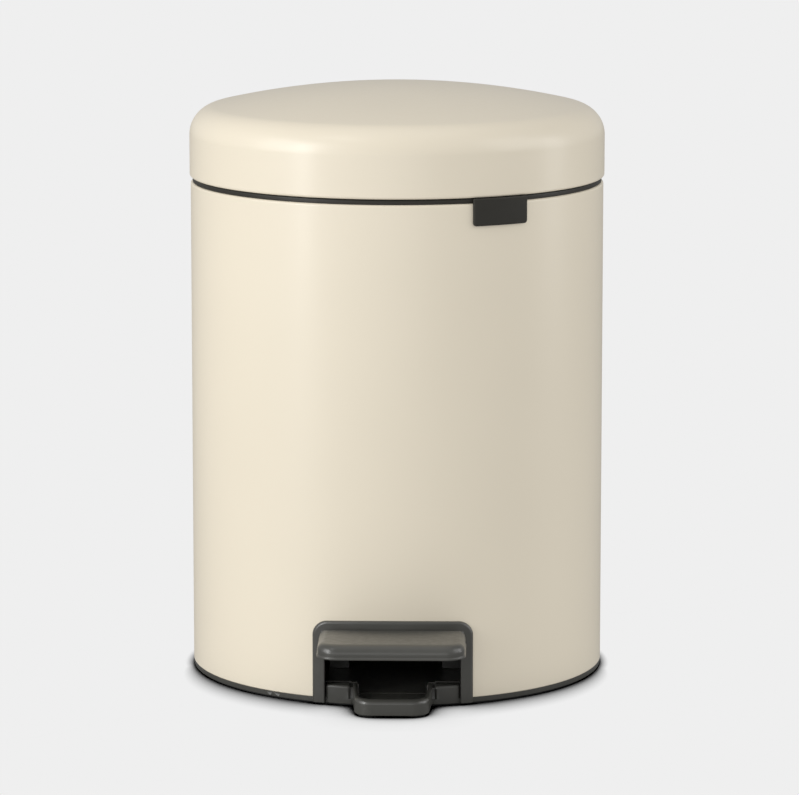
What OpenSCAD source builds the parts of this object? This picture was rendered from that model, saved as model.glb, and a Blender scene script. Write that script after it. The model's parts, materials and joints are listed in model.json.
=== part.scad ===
// Pedal trash can of the five-litre size: a round steel body and domed lid, a foot pedal at the
// front, a rear hinge with a slow-close damper, and a lift-out inner bucket.
// The floor is z = 0, the body's axis is the Z axis, the pedal is at -Y and the hinge at +Y.

/* [Body] */
// Outer radius of the steel body
body_r = 102; // [101.9:0.1:102.1]
// Height of the body's rolled top edge
body_top = 243.5; // [243.3:0.1:243.6]
// Thickness of the sheet steel
sheet = 1; // [0.8:0.1:1]
// Radius of the rolled edge at the top of the body
roll_r = 1.2; // [1.1:0.1:1.3]
// Height of the base band that the body stands on
band_top = 3.3; // [3.1:0.1:3.5]

/* [Lid] */
// Outer radius of the lid's skirt
lid_r = 102.5; // [102.4:0.1:102.6]
// Height of the lid's lower edge
lid_bottom = 246.2; // [246.2:0.1:246.4]
// Height of the top of the dome
lid_apex = 291.3; // [290:0.1:293]
// Radius of the dome
dome_r = 405; // [395:1:415]
// Radius of the shoulder between skirt and dome
shoulder_r = 14.7; // [13:0.1:16]

/* [Rear hinge] */
// Distance of the hinge pin behind the body's axis
hinge_y = 110; // [109.8:0.1:110.2]
// Height of the hinge pin
hinge_z = 246; // [245.9:0.1:246.1]
// Radius of the hinge pin
hinge_pin_r = 2; // [1.8:0.1:2]
// How far the lid opens, in degrees
lid_swing = 72; // [71:1:72]
// Half width of the hinge housing
housing_x = 30; // [29:0.5:31]
// Depth of the housing behind the body's axis
housing_y = 126; // [125:0.5:127]
// Height of the underside of the housing
housing_bottom = 184; // [182:1:186]

/* [Pedal mechanism] */
// Distance of the lever's axle in front of the body's axis
pivot_y = -20; // [-20.5:0.5:-19.5]
// Height of the lever's axle
pivot_z = 16; // [15.8:0.1:16.2]
// Radius of the axle
axle_r = 3; // [2.8:0.1:3]
// Distance of the push rod behind the body's axis
rod_y = 96; // [95.9:0.1:96.1]
// Radius of the push rod
rod_r = 1.5; // [1.4:0.1:1.5]
// Height of the rod's lower pin with the lid shut
rod_foot_z = 8; // [7.9:0.1:8.1]
// How far the rod rises when the pedal is pressed
rod_travel = 20; // [19.5:0.1:20]

/* [Pedal] */
// Half width of the pedal pad
pad_x = 35.5; // [35:0.1:36]
// Distance of the pad's front edge in front of the body's axis
pad_front = -140.5; // [-142:0.5:-139]
// Height of the pad's top
pad_top = 38.5; // [38.3:0.1:38.7]
// Height of the pad's lower lip
pad_lip = 31.5; // [31:0.1:32]
// Radius of the pad's front corners
pad_corner = 10; // [9:0.5:11]

/* [Pedal opening] */
// Half width of the frame around the opening
bezel_x = 38.75; // [38.5:0.05:39]
// Height of the frame's top
bezel_top = 42.5; // [42.3:0.1:42.7]
// Width of the frame's flange
bezel_flange = 6; // [5.5:0.1:6]
// Outer radius of the frame's curved face
bezel_r = 103.7; // [103.5:0.1:103.9]
// Half width of the front foot where it leaves the body
tongue_x = 19.4; // [19:0.1:20]
// Distance of the front foot's end in front of the body's axis
tongue_front = -125; // [-126:0.5:-124]
// Height of the front foot's lip
tongue_top = 8.8; // [8.4:0.1:9]
// Height of the blocks beside the front foot
ear_top = 9.8; // [9.6:0.1:10.4]

/* [Bucket] */
// Outer radius of the bucket's flange
bucket_r = 88.2; // [88:0.1:88.3]
// Outer radius of the bucket's floor
bucket_floor_r = 76; // [75:0.1:76]
// Height of the bucket's top
bucket_top = 238.5; // [238.3:0.1:238.6]
// Wall of the bucket
bucket_wall = 1.6; // [1.4:0.1:1.6]
// Radius of the carrying bail's loop
bail_loop = 82; // [81.8:0.1:82]

/* [Hidden] */
$fn = 180;

// fits
press = 0.03;   // radial gap of a part held by its bore
running = 0.06; // radial gap of a part that turns or slides in its bore
far = 400;      // longer than anything here

// body and base
floor_z = 1;                          // underside of the base, on its rubber ring
body_inner = body_r - sheet;
band_r = body_r - 0.2;
wall_r = body_inner - 0.2;            // the base's locating wall, inside the body
wall_top = 16;
rear_notch_x = 11;                    // half width of the notch for rod and crank
rear_notch_z = 231;
rivet_x = 12.5;                       // rivets of the rod's guide
rivet_z = 120;
seat_z = 42;
seat_top = 44.5;
seat_post = 59.4;                     // the posts stand on a square's corners
seat_post_r = 5;
boss_x = [23, 33];                    // axle boss, from its inner to its outer face
boss_y = 12;                          // half length of the boss along Y
cap_top = 23;
cap_screw_y = 8.5;

// rim
rim_r = 101;
rim_bottom = 226;
rim_inner = 90.5;
rim_top = lid_bottom - 0.2;
rim_lip_top = 249.5;
tab_turn = 30.1;                      // how far the tab is turned from the front
tab_span = 16.6;                      // how much of the rim it covers, in degrees
tab_bottom = 232.7;

// rod and crank
crank_arm = hinge_y - rod_y;
rod_head_z = hinge_z - rod_travel / 2;
crank_angle = lid_swing / 2;
crank_far = norm([crank_arm, rod_travel / 2]);
crank_x = [3.2, 6.8];
slot_r = 2.3;
crank_wall = 1.5;
clip_x = [7.2, 8.2];
rod_end_x = 9;

// hinge
knuckle_r = 6;
knuckle_x = 14;
ear_x = 24;
back_r = 16;                          // the rounding at the back of the housing
back_z = hinge_z + knuckle_r - back_r;
screw_x = 18;
housing_screw_z = [208, 220];
arm_plate = [95.6, 98.9];             // the arm's upright plate, front and back faces
arm_foot = 247.6;
arm_top = 266;
arm_screw_x = 8;
arm_screw_z = 260;

// pedal
lever_x = 20;
lever_sheet = 2;
shelf_top = pad_top - 2.9;
tab_x = [3.5, 6.5];
bush_r = 5;
pad_screw = [12, -118];
pad_skin = 2.8;
pad_rear = -104.3;

// opening in the body and the frame round it
neck_x = bezel_x - 4.55;
neck_top = bezel_top - 4.8;
cut_x = neck_x + 0.3;
cut_top = neck_top + 0.3;
crown_r = 480;                        // the frame's top edge rises a little to its middle

// lid
shoulder_z = lid_apex - dome_r
    + sqrt(pow(dome_r - shoulder_r, 2) - pow(lid_r - shoulder_r, 2));
shoulder_tilt = asin((lid_r - shoulder_r) / (dome_r - shoulder_r));
liner_z = 251;
liner_in = 96.5;
bumper_r = 1.9;

// bucket
bucket_z = seat_top + 0.1;
bail_z = bucket_top + 3.8;
bail_r = 1.5;
bail_pin_x = 88.4;
bail_pin_r = 1.4;
grip_r = 3.7;

// ---------- helpers ----------

module block(x, y, z) {
    translate([x[0], y[0], z[0]])
        cube([x[1] - x[0], y[1] - y[0], z[1] - z[0]]);
}

module ring(inner, outer, z) {
    difference() {
        translate([0, 0, z[0]])
            cylinder(r = outer, h = z[1] - z[0]);
        translate([0, 0, z[0] - 1])
            cylinder(r = inner, h = z[1] - z[0] + 2);
    }
}

module rod_along_x(r, x, y, z) {
    translate([x[0], y, z])
        rotate([0, 90, 0])
            cylinder(r = r, h = x[1] - x[0]);
}

module rod_along_y(r, x, y, z) {
    translate([x, y[1], z])
        rotate([90, 0, 0])
            cylinder(r = r, h = y[1] - y[0]);
}

module rod_along_z(r, x, y, z) {
    translate([x, y, z[0]])
        cylinder(r = r, h = z[1] - z[0]);
}

// a side view, drawn in Y and Z, extruded along X
module side_view(x) {
    translate([x[0], 0, 0])
        rotate([90, 0, 90])
            linear_extrude(x[1] - x[0])
                children();
}

// a front view, drawn in X and Z, extruded along Y
module front_view(y) {
    translate([0, y[1], 0])
        rotate([90, 0, 0])
            linear_extrude(y[1] - y[0])
                children();
}

// an upright rectangle whose two top corners are round
module arch(half_width, low, high, r) {
    translate([-half_width, low])
        square([2 * half_width, high - r - low]);
    translate([r - half_width, low])
        square([2 * (half_width - r), high - low]);
    for (side = [-1, 1])
        translate([side * (half_width - r), high - r])
            circle(r);
}

module both_sides() {
    children();
    mirror([1, 0, 0])
        children();
}

// everything in front, up to a half width and a height
module front_gap(half_width, high) {
    block([-half_width, half_width], [-far, 0], [-1, high]);
}

module rear_gap(half_width, z) {
    block([-half_width, half_width], [0, far], z);
}

// ---------- body ----------

module outer_shell() {
    color([0.86, 0.83, 0.78])
    difference() {
        union() {
            ring(body_inner, body_r, [band_top, body_top - roll_r]);
            rotate_extrude()
                translate([body_r - roll_r, body_top - roll_r])
                    circle(roll_r);
        }
        front_gap(cut_x, cut_top);
        rear_gap(rear_notch_x, [rear_notch_z, far]);
        for (side = [-1, 1], z = housing_screw_z)
            rod_along_y(2.15, side * screw_x, [90, far], z);
        for (side = [-1, 1])
            rod_along_y(1.65, side * rivet_x, [90, far], rivet_z);
    }
}

// the foot's plan, set in by one amount at the sides and by another at the front
module foot_plan(side_in, front_in) {
    corner = 9.5;
    root_x = tongue_x - side_in;
    end_x = root_x - 1.5;
    front = tongue_front + front_in;
    polygon([
        [-root_x, -88], [root_x, -88], [root_x, -95], [end_x, front + corner],
        [-end_x, front + corner], [-root_x, -95]
    ]);
    translate([corner - end_x, front])
        square([2 * (end_x - corner), corner + 1]);
    for (side = [-1, 1])
        translate([side * (end_x - corner), front + corner])
            circle(corner);
}

// a dished foot whose lip rises towards the body
module front_foot() {
    difference() {
        intersection() {
            translate([0, 0, floor_z])
                linear_extrude(ear_top)
                    foot_plan(0, 0);
            side_view([-far, far])
                polygon([
                    [-far, floor_z], [-80, floor_z], [-80, ear_top - 0.5],
                    [-103, ear_top - 0.5], [-117, tongue_top], [-far, tongue_top]
                ]);
        }
        translate([0, 0, band_top + 0.7])
            linear_extrude(ear_top)
                foot_plan(2.2, 4.5);
    }
}

module base_moulding() {
    color([0.16, 0.15, 0.14])
    difference() {
        union() {
            rod_along_z(band_r, 0, 0, [floor_z, band_top]);
            difference() {
                ring(wall_r - 1.8, wall_r, [band_top - 1, wall_top]);
                front_gap(38, far);
                rear_gap(rear_notch_x, [band_top, far]);
            }
            front_foot();
            intersection() {
                both_sides()
                    block([tongue_x + 0.9, 32.4], [-far, -88], [band_top - 1, ear_top]);
                rod_along_z(band_r, 0, 0, [0, 20]);
            }
            both_sides()
                block([tongue_x - 1.5, 22], [-98.3, -88], [band_top - 1, ear_top - 0.5]);
            both_sides()
                block(boss_x, [pivot_y - boss_y, pivot_y + boss_y], [band_top - 1, pivot_z]);
            for (x = [-seat_post, seat_post], y = [-seat_post, seat_post])
                rod_along_z(seat_post_r, x, y, [band_top - 1, seat_z]);
        }
        rod_along_x(axle_r + press, [-40, 40], pivot_y, pivot_z);
        both_sides()
            for (side = [-1, 1])
                rod_along_z(1.5, (boss_x[0] + boss_x[1]) / 2, pivot_y + side * cap_screw_y,
                    [6, 20]);
        for (x = [-seat_post, seat_post], y = [-seat_post, seat_post])
            rod_along_z(1.8, x, y, [28, far]);
    }
}

module floor_ring() {
    color([0.09, 0.09, 0.09])
        ring(90, body_r - 1.4, [0, floor_z]);
}

module tongue_pads() {
    color([0.09, 0.09, 0.09])
        both_sides()
            rod_along_z(5.5, 11, tongue_front + 8, [0, floor_z]);
}

module top_rim() {
    color([0.17, 0.16, 0.15])
    difference() {
        union() {
            ring(98, 99.2, [rim_bottom, body_top + 1]);
            ring(rim_inner, rim_r, [body_top, rim_top]);
            ring(94, 95.4, [rim_top - 1, rim_lip_top]);
        }
        rear_gap(rear_notch_x, [rear_notch_z, far]);
        rear_gap(18, [rim_top, far]);
    }
}

module rim_tab() {
    lower_r = 1.5;
    half = (body_r + 1.5) * sin(tab_span / 2);
    color([0.24, 0.23, 0.22])
    rotate([0, 0, tab_turn])
        intersection() {
            union() {
                ring(body_r + 0.1, body_r + 1.5, [tab_bottom, rim_top - 0.1]);
                ring(rim_r + 0.05, body_r + 0.2, [body_top + 0.1, rim_top - 0.1]);
            }
            union() {
                block([-half, half], [-far, 0], [tab_bottom + lower_r, rim_top + 1]);
                block([lower_r - half, half - lower_r], [-far, 0], [tab_bottom - 1, rim_top]);
                for (side = [-1, 1])
                    rod_along_y(lower_r, side * (half - lower_r), [-far, 0],
                        tab_bottom + lower_r);
            }
        }
}

module pedal_bezel() {
    color([0.27, 0.26, 0.25])
    difference() {
        union() {
            intersection() {
                ring(body_r + 0.05, bezel_r, [0, 60]);
                front_view([-far, 0])
                    intersection() {
                        arch(bezel_x, floor_z + 0.2, bezel_top, 7);
                        translate([0, bezel_top - crown_r])
                            circle(crown_r, $fn = 720);
                    }
            }
            intersection() {
                ring(99.2, body_r + 0.5, [0, 60]);
                front_view([-far, 0])
                    arch(neck_x, band_top, neck_top, 5);
            }
            intersection() {
                ring(99.2, body_inner - 0.1, [0, 60]);
                front_view([-far, 0])
                    arch(neck_x + 2, wall_top, neck_top + 2, 6);
            }
        }
        front_view([-far, 0])
            arch(bezel_x - bezel_flange, 0, bezel_top - bezel_flange - 0.5, 4);
    }
}

// ---------- pedal bearing and inner floor ----------

module lever_axle() {
    color([0.72, 0.72, 0.72])
        rod_along_x(axle_r, [0.5 - boss_x[1], boss_x[1] - 0.5], pivot_y, pivot_z);
}

module axle_caps() {
    color([0.2, 0.2, 0.2])
    difference() {
        both_sides()
            block(boss_x, [pivot_y - boss_y, pivot_y + boss_y], [pivot_z + 0.1, cap_top]);
        rod_along_x(axle_r + press, [-40, 40], pivot_y, pivot_z);
        both_sides()
            for (side = [-1, 1])
                rod_along_z(1.7, (boss_x[0] + boss_x[1]) / 2, pivot_y + side * cap_screw_y,
                    [0, far]);
    }
}

module axle_cap_screws() {
    x = (boss_x[0] + boss_x[1]) / 2;
    color([0.75, 0.75, 0.76])
        both_sides()
            for (side = [-1, 1]) {
                rod_along_z(1.47, x, pivot_y + side * cap_screw_y, [7, cap_top + 0.5]);
                rod_along_z(2.8, x, pivot_y + side * cap_screw_y, [cap_top, cap_top + 2]);
            }
}

module lever_buffer() {
    color([0.08, 0.08, 0.08])
        rod_along_z(6, 0, 70, [band_top, 5.2]);
}

module bucket_seat() {
    color([0.2, 0.19, 0.18])
    difference() {
        union() {
            rod_along_z(94, 0, 0, [seat_z, seat_top]);
            ring(92, 94, [seat_z - 4, seat_z + 1]);
            ring(bucket_floor_r + 0.8, bucket_floor_r + 2.4, [seat_top - 1, seat_top + 5]);
        }
        for (x = [-seat_post, seat_post], y = [-seat_post, seat_post])
            rod_along_z(2, x, y, [0, far]);
    }
}

module seat_screws() {
    color([0.75, 0.75, 0.76])
        for (x = [-seat_post, seat_post], y = [-seat_post, seat_post]) {
            rod_along_z(1.77, x, y, [30, seat_top + 0.5]);
            rod_along_z(3.4, x, y, [seat_top, seat_top + 2.2]);
        }
}

module rod_guide() {
    color([0.2, 0.19, 0.18])
    difference() {
        intersection() {
            union() {
                block([-7, 7], [92.5, far], [108, 132]);
                block([-17, 17], [98, far], [113, 127]);
            }
            rod_along_z(body_inner - 0.1, 0, 0, [100, 140]);
        }
        rod_along_z(rod_r + running, 0, rod_y, [90, 150]);
        for (side = [-1, 1])
            rod_along_y(1.65, side * rivet_x, [90, far], rivet_z);
    }
}

module guide_rivets() {
    color([0.7, 0.7, 0.71])
        for (side = [-1, 1]) {
            rod_along_y(1.6, side * rivet_x, [97, 102.5], rivet_z);
            rod_along_y(2.8, side * rivet_x, [96.9, 97.9], rivet_z);
            rod_along_y(2.8, side * rivet_x, [102, 103], rivet_z);
        }
}

// ---------- hinge on the body ----------

module housing_side() {
    bottom_r = 6;
    translate([90, housing_bottom])
        square([housing_y - bottom_r - 90, 20]);
    translate([90, housing_bottom + bottom_r])
        square([housing_y - 90, back_z - housing_bottom - bottom_r]);
    translate([housing_y - bottom_r, housing_bottom + bottom_r])
        circle(bottom_r);
    intersection() {
        translate([hinge_y, back_z])
            circle(back_r);
        translate([hinge_y, housing_bottom])
            square([back_r, 100]);
    }
    translate([90, back_z - 1])
        square([hinge_y - 90, 246 - 0.6 - back_z + 1]);
    translate([hinge_y, hinge_z])
        circle(knuckle_r);
}

module housing_plan() {
    corner = 8;
    translate([-housing_x, 90])
        square([2 * housing_x, housing_y - corner - 90]);
    translate([corner - housing_x, 90])
        square([2 * (housing_x - corner), housing_y - 90]);
    for (side = [-1, 1])
        translate([side * (housing_x - corner), housing_y - corner])
            circle(corner);
}

module hinge_housing() {
    cavity_x = ear_x - 0.1;
    color([0.2, 0.19, 0.18])
    difference() {
        union() {
            difference() {
                intersection() {
                    side_view([-housing_x, housing_x])
                        housing_side();
                    translate([0, 0, 150])
                        linear_extrude(150)
                            housing_plan();
                }
                block([-cavity_x, cavity_x], [90, housing_y - 7], [206, far]);
                block([-cavity_x, cavity_x], [90, housing_y - 3.5], [206, 230]);
                block([-25, 25], [104.5, housing_y - 4], [housing_bottom - 1, 202]);
            }
            for (side = [-1, 1], z = housing_screw_z)
                rod_along_y(4.5, side * screw_x, [95, housing_y - 3], z);
            rod_along_x(knuckle_r, [knuckle_x + 0.4, ear_x + 1], hinge_y, hinge_z);
            difference() {
                block([-ear_x, -17], [105, housing_y - 6], [230, 238.8]);
                block([-25, -16], [108.3, 111.7], [236, 240]);
            }
        }
        translate([0, 0, 100])
            cylinder(r = body_r + 0.05, h = 200);
        rod_along_x(hinge_pin_r + press, [-40, 40], hinge_y, hinge_z);
        for (side = [-1, 1], z = housing_screw_z)
            rod_along_y(2 + press, side * screw_x, [90, 114], z);
    }
}

module hinge_backplate() {
    color([0.7, 0.7, 0.71])
    difference() {
        intersection() {
            union() {
                ring(body_inner - 1.7, body_inner - 0.1, [203, 225]);
                for (side = [-1, 1], z = housing_screw_z)
                    rod_along_y(4.6, side * screw_x, [96.7, far], z);
            }
            rod_along_z(body_inner - 0.1, 0, 0, [190, 240]);
            block([-25, 25], [90, far], [190, 240]);
        }
        for (side = [-1, 1], z = housing_screw_z)
            rod_along_y(2.15, side * screw_x, [80, far], z);
    }
}

module housing_screws() {
    color([0.75, 0.75, 0.76])
        for (side = [-1, 1], z = housing_screw_z) {
            rod_along_y(2, side * screw_x, [96, 113], z);
            rod_along_y(3.6, side * screw_x, [94.5, 96.7], z);
        }
}

module hinge_pin() {
    color([0.72, 0.72, 0.72])
        rod_along_x(hinge_pin_r, [0.3 - housing_x, housing_x - 0.3], hinge_y, hinge_z);
}

module damper_body() {
    color([0.3, 0.3, 0.31])
    difference() {
        union() {
            rod_along_x(knuckle_r, [-23.6, -16.9], hinge_y, hinge_z);
            block([-23.6, -17.2], [108.5, 111.5], [236.4, 242]);
        }
        rod_along_x(hinge_pin_r + running, [-30, 0], hinge_y, hinge_z);
    }
}

// ---------- lid ----------

// the section of a lid whose outside is set in by the given amount
module lid_section(inset) {
    centre = [lid_r - shoulder_r, shoulder_z];
    reach = 60;
    translate([0, lid_bottom + roll_r])
        square([lid_r - inset, shoulder_z - lid_bottom - roll_r]);
    translate(centre)
        circle(shoulder_r - inset);
    intersection() {
        translate([0, lid_apex - dome_r])
            circle(dome_r - inset, $fn = 360);
        polygon([
            [0, shoulder_z - 1], [centre[0], shoulder_z - 1], centre,
            centre + reach * [sin(shoulder_tilt), cos(shoulder_tilt)],
            [0, shoulder_z + reach]
        ]);
    }
}

module lid_shell() {
    color([0.86, 0.83, 0.78])
    difference() {
        rotate_extrude() {
            difference() {
                intersection() {
                    lid_section(0);
                    square([far, far]);
                }
                lid_section(sheet);
                translate([0, lid_bottom - 1])
                    square([lid_r - sheet, 10]);
            }
            translate([lid_r - roll_r, lid_bottom + roll_r])
                circle(roll_r);
        }
        rear_gap(knuckle_x + 1.5, [lid_bottom - 1, hinge_z + knuckle_r + 1]);
    }
}

module lid_liner() {
    outer = lid_r - sheet - 0.1;
    color([0.2, 0.19, 0.18])
    difference() {
        union() {
            difference() {
                union() {
                    ring(outer - 1.5, outer, [liner_z, liner_z + 11]);
                    ring(liner_in, outer, [liner_z, liner_z + 1.8]);
                    ring(liner_in, liner_in + 1.5, [liner_z, liner_z + 5]);
                }
                rear_gap(knuckle_x + 1, [0, far]);
            }
            block([-24, 24], [91.6, arm_plate[0] - 0.2], [liner_z, arm_top]);
        }
        for (side = [-1, 1])
            rod_along_y(2, side * arm_screw_x, [80, far], arm_screw_z);
    }
}

module lid_bumpers() {
    color([0.08, 0.08, 0.08])
        for (turn = [45 : 90 : 315])
            rotate([0, 0, turn])
                rod_along_z(bumper_r, 98, 0, [rim_top + 0.4, liner_z]);
}

// a straight slot or plate in the crank's direction, from one distance to another
module along_crank(x, r, from, to) {
    translate([0, hinge_y, hinge_z])
        rotate([crank_angle, 0, 0]) {
            rod_along_x(r, x, -from, 0);
            rod_along_x(r, x, -to, 0);
            block(x, [-to, -from], [-r, r]);
        }
}

module hinge_arm() {
    half = knuckle_x - 0.1;
    color([0.2, 0.19, 0.18])
    difference() {
        union() {
            rod_along_x(knuckle_r, [-knuckle_x, knuckle_x], hinge_y, hinge_z);
            block([-half, half], arm_plate, [arm_foot, arm_top]);
            block([-half, half], [arm_plate[0], hinge_y], [arm_foot, hinge_z + knuckle_r]);
            along_crank(crank_x, slot_r + crank_wall, 0, crank_far + 0.1);
        }
        along_crank([0, 10], slot_r, crank_arm - 0.3, crank_far + 0.1);
        rod_along_x(hinge_pin_r + running, [-30, 30], hinge_y, hinge_z);
        rod_along_x(3.6 + press, [-20, -10.8], hinge_y, hinge_z);
        for (side = [-1, 1])
            rod_along_y(1.8 + press, side * arm_screw_x, [80, far], arm_screw_z);
    }
}

module arm_screws() {
    color([0.75, 0.75, 0.76])
        for (side = [-1, 1]) {
            rod_along_y(1.8, side * arm_screw_x, [91, arm_plate[1] - 0.2], arm_screw_z);
            rod_along_y(3.2, side * arm_screw_x, [89.6, 91.6], arm_screw_z);
        }
}

module damper_rotor() {
    color([0.75, 0.74, 0.7])
    difference() {
        union() {
            rod_along_x(5, [-16.6, -14.2], hinge_y, hinge_z);
            rod_along_x(3.6, [-15, -11], hinge_y, hinge_z);
        }
        rod_along_x(hinge_pin_r + running, [-30, 0], hinge_y, hinge_z);
    }
}

// ---------- pedal ----------

module pedal_lever() {
    rear_y = 90;
    // height of the straight line from axle to rod foot
    function line_z(y) = pivot_z + (rod_foot_z - pivot_z) * (y - pivot_y) / (rod_y - pivot_y);
    knee = [-94, shelf_top];
    crest = [-30, 26];
    nape = [-8, 24];
    color([0.62, 0.62, 0.62])
    difference() {
        union() {
            side_view([-lever_x, lever_x])
                polygon([
                    [-134, shelf_top], knee, crest, nape,
                    nape - [0, lever_sheet], crest - [0, lever_sheet],
                    knee - [0, lever_sheet], [-134, shelf_top - lever_sheet]
                ]);
            both_sides()
                side_view([lever_x - lever_sheet, lever_x])
                    polygon([
                        [-108, shelf_top], knee, crest, nape,
                        [-8, 12], [-20, 9], [-34, 10], [-88, 26], [-108, 30]
                    ]);
            side_view([-tab_x[1], tab_x[1]])
                polygon([
                    [-14, 24.5], [rear_y, line_z(rear_y) + 4],
                    [rear_y, line_z(rear_y) + 2], [-14, 22]
                ]);
            both_sides()
                side_view(tab_x)
                    polygon([
                        [-14, 24], [rear_y, line_z(rear_y) + 4],
                        [rear_y, line_z(rear_y) - 3], [-12, line_z(-12) - 5]
                    ]);
            side_view(tab_x)
                polygon([
                    [rear_y - 2, line_z(rear_y) + 3.6], [rod_y, rod_foot_z + 3.6],
                    [rod_y, rod_foot_z - 3.6], [rear_y - 2, line_z(rear_y) - 3]
                ]);
            rod_along_x(3.6, tab_x, rod_y, rod_foot_z);
        }
        rod_along_x(2, [0, 20], rod_y, rod_foot_z);
        rod_along_x(bush_r + press, [-40, 40], pivot_y, pivot_z);
        for (side = [-1, 1])
            rod_along_z(1.7, side * pad_screw[0], pad_screw[1], [20, 40]);
    }
}

module pad_plan(inset) {
    corner = pad_corner - inset;
    x = pad_x - inset;
    front = pad_front + inset;
    translate([-x, front + corner])
        square([2 * x, 40]);
    translate([corner - x, front])
        square([2 * (x - corner), corner + 1]);
    for (side = [-1, 1])
        translate([side * (x - corner), front + corner])
            circle(corner);
}

module pedal_pad() {
    rear_x = pad_x - 0.4;
    color([0.3, 0.29, 0.28])
    difference() {
        translate([0, 0, pad_lip])
            linear_extrude(pad_top - pad_lip)
                intersection() {
                    pad_plan(0);
                    polygon([
                        [-far, -far], [far, -far], [pad_x, -112], [rear_x, pad_rear],
                        [-rear_x, pad_rear], [-pad_x, -112]
                    ]);
                }
        translate([0, 0, pad_lip - 1])
            linear_extrude(pad_top - pad_skin - pad_lip + 1)
                difference() {
                    pad_plan(2.5);
                    for (side = [-1, 1])
                        translate([side * (rear_x - 1), -104])
                            square([5, 20], center = true);
                }
        for (side = [-1, 1])
            rod_along_z(1.5 + press, side * pad_screw[0], pad_screw[1], [30, pad_top - 0.7]);
    }
}

module pad_screws() {
    color([0.75, 0.75, 0.76])
        for (side = [-1, 1]) {
            rod_along_z(1.5, side * pad_screw[0], pad_screw[1],
                [shelf_top - lever_sheet - 1, pad_top - 0.9]);
            rod_along_z(2.9, side * pad_screw[0], pad_screw[1],
                [shelf_top - lever_sheet - 1.8, shelf_top - lever_sheet]);
        }
}

module lever_bushes() {
    color([0.85, 0.84, 0.8])
    difference() {
        both_sides() {
            rod_along_x(bush_r, [17, 22], pivot_y, pivot_z);
            rod_along_x(bush_r + 2, [lever_x + 0.1, 22], pivot_y, pivot_z);
        }
        rod_along_x(axle_r + running, [-40, 40], pivot_y, pivot_z);
    }
}

// ---------- push rod ----------

module push_rod() {
    color([0.72, 0.72, 0.72]) {
        rod_along_z(rod_r, 0, rod_y, [rod_foot_z, rod_head_z]);
        for (z = [rod_foot_z, rod_head_z]) {
            rod_along_x(rod_r, [0, rod_end_x], rod_y, z);
            translate([0, rod_y, z])
                sphere(rod_r);
        }
    }
}

module rod_clips() {
    color([0.8, 0.8, 0.8])
    difference() {
        for (z = [rod_foot_z, rod_head_z])
            rod_along_x(3, clip_x, rod_y, z);
        for (z = [rod_foot_z, rod_head_z])
            rod_along_x(rod_r + press, [0, 20], rod_y, z);
    }
}

// ---------- bucket ----------

module inner_bucket() {
    wall_bottom = bucket_floor_r - bucket_wall;
    ear = [bail_loop + 2.9, bail_loop + 5.4];
    color([0.22, 0.22, 0.22])
    difference() {
        union() {
            rotate_extrude()
                polygon([
                    [0, bucket_z], [bucket_floor_r - 2, bucket_z],
                    [bucket_floor_r, bucket_z + 2],
                    [bucket_r - 1.4, bucket_top - 2.5], [bucket_r, bucket_top - 2.5],
                    [bucket_r, bucket_top], [bucket_r - 3, bucket_top],
                    [wall_bottom, bucket_z + 3], [wall_bottom - 1.4, bucket_z + bucket_wall],
                    [0, bucket_z + bucket_wall]
                ]);
            both_sides() {
                block(ear, [-4, 4], [bucket_top - 0.1, bail_z]);
                rod_along_x(4, ear, 0, bail_z);
            }
        }
        rod_along_x(bail_pin_r + running, [-100, 100], 0, bail_z);
    }
}

module bail_wire() {
    past = 1.5;
    color([0.74, 0.74, 0.75]) {
        translate([0, 0, bail_z])
            rotate([0, 0, 180 - past])
                rotate_extrude(angle = 180 + 2 * past)
                    translate([bail_loop, 0])
                        circle(bail_r);
        both_sides()
            rod_along_x(bail_pin_r, [bail_loop, bail_pin_x], 0, bail_z);
    }
}

module bail_grip() {
    half = 22;
    color([0.2, 0.2, 0.2])
        translate([0, 0, bail_z])
            rotate([0, 0, -90 - half])
                rotate_extrude(angle = 2 * half)
                    translate([bail_loop, 0])
                        difference() {
                            circle(grip_r);
                            circle(bail_r + 0.02);
                        }
}

outer_shell();
base_moulding();
floor_ring();
tongue_pads();
top_rim();
rim_tab();
pedal_bezel();
lever_axle();
axle_caps();
axle_cap_screws();
lever_buffer();
bucket_seat();
seat_screws();
rod_guide();
guide_rivets();
hinge_housing();
hinge_backplate();
housing_screws();
hinge_pin();
damper_body();
lid_shell();
lid_liner();
lid_bumpers();
hinge_arm();
arm_screws();
damper_rotor();
pedal_lever();
pedal_pad();
pad_screws();
lever_bushes();
push_rod();
rod_clips();
inner_bucket();
bail_wire();
bail_grip();
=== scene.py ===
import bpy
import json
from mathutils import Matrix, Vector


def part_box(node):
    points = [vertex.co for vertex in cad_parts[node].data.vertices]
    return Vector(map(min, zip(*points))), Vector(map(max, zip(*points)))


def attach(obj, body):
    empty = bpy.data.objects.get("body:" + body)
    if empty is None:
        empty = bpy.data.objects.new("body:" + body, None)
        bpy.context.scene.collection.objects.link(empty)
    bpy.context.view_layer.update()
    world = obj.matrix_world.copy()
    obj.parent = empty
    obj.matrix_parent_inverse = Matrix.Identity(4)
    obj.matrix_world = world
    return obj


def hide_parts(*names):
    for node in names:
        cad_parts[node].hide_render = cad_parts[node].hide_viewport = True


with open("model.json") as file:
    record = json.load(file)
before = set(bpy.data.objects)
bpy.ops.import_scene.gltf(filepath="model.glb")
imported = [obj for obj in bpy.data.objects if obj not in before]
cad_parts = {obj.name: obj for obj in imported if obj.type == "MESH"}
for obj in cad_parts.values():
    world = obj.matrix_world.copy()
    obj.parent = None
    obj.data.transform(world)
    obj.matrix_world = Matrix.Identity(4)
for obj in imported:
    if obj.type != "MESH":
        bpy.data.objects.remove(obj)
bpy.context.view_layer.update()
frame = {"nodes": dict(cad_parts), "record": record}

import json
import math

import bmesh
import bpy
from mathutils import Vector

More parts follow.
